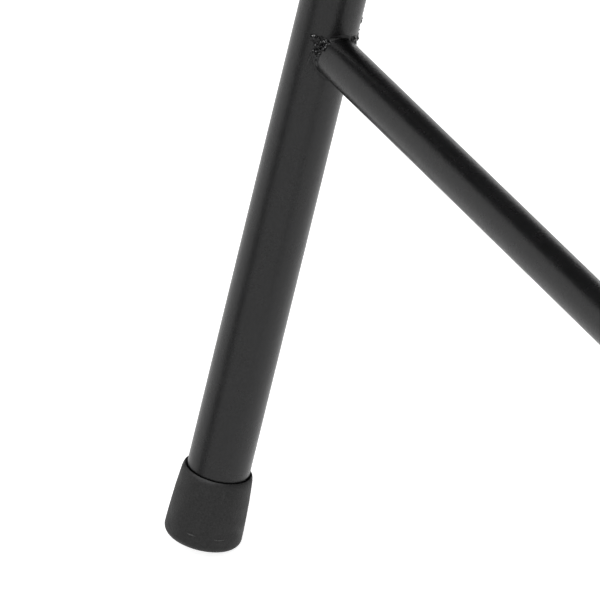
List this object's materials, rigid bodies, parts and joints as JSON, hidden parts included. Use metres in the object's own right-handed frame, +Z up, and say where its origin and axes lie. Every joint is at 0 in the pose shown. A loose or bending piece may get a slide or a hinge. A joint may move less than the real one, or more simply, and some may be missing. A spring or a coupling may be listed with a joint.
{
  "type": "tripod hunting stand",
  "caption": "Raised hunting seat on a ladder and two rear legs: slatted platform, padded shooting rail with a lifting gate bar, and a swivel seat with a fold-down backrest.",
  "frame": {"origin": "on the ground, at the centre of the footprint's box", "axes": "+Z up; the ladder and the gate are on the -Y side; X runs along the rungs"},
  "size_m": [1.5066, 1.3202, 2.4039],
  "materials": {
    "black_paint": "satin black powder coat",
    "black_rubber": "matte moulded rubber",
    "black_foam": "matte closed-cell foam",
    "seat_cloth": "matte woven cloth over foam",
    "nylon": "matte moulded nylon",
    "zinc": "zinc plated"
  },
  "bodies": {
    "stand": {"ladder_rail_left": "black_paint", "ladder_boot_left": "black_rubber", "ladder_bolt_left": "zinc", "ladder_rail_right": "black_paint", "ladder_boot_right": "black_rubber", "ladder_bolt_right": "zinc", "ladder_rung_1": "black_paint", "ladder_rung_2": "black_paint", "ladder_rung_3": "black_paint", "ladder_rung_4": "black_paint", "ladder_socket_left": "black_paint", "ladder_socket_right": "black_paint", "rear_leg_left": "black_paint", "rear_boot_left": "black_rubber", "rear_bolt_left": "zinc", "rear_socket_left": "black_paint", "rear_leg_right": "black_paint", "rear_boot_right": "black_rubber", "rear_bolt_right": "zinc", "rear_socket_right": "black_paint", "brace_left": "black_paint", "brace_left_bolt_1": "zinc", "brace_left_bolt_2": "zinc", "brace_right": "black_paint", "brace_right_bolt_1": "zinc", "brace_right_bolt_2": "zinc", "brace_rear": "black_paint", "brace_rear_bolt_1": "zinc", "brace_rear_bolt_2": "zinc", "platform_frame": "black_paint", "deck_grate": "black_paint", "guard_rail_left": "black_paint", "guard_rail_right": "black_paint", "guard_coupler": "black_paint", "post_front_left": "black_paint", "post_front_right": "black_paint", "post_right": "black_paint", "post_rear_right": "black_paint", "post_rear_left": "black_paint", "post_left": "black_paint", "rail_pad_right_front": "black_foam", "rail_pad_right_rear": "black_foam", "rail_pad_rear": "black_foam", "rail_pad_left_rear": "black_foam", "rail_pad_left_front": "black_foam", "gate_fork": "black_paint", "gate_cradle": "black_paint", "gate_pin": "zinc", "seat_post": "black_paint", "swivel_bush": "nylon"},
    "gate": {"gate_bar": "black_paint", "gate_pad": "black_foam"},
    "seat": {"seat_spindle": "black_paint", "seat_pan": "black_paint", "seat_cushion": "seat_cloth", "backrest_bolt_left": "zinc", "backrest_bolt_right": "zinc"},
    "backrest": {"backrest_sheet": "black_paint", "backrest_cushion": "seat_cloth"}
  },
  "joints": [
    {"name": "seat_swivel", "type": "hinge", "parent": "stand", "child": "seat", "pos_m": [0, 0.20607, 1.7999], "axis": [0, 0, 1], "continuous": true},
    {"name": "backrest_fold", "type": "hinge", "parent": "seat", "child": "backrest", "pos_m": [0, 0.36607, 1.96787], "axis": [1, 0, 0], "range_deg": [0, 95]},
    {"name": "gate_lift", "type": "hinge", "parent": "stand", "child": "gate", "pos_m": [-0.17, -0.22393, 2.37987], "axis": [0, -1, 0], "range_deg": [0, 95]}
  ]
}
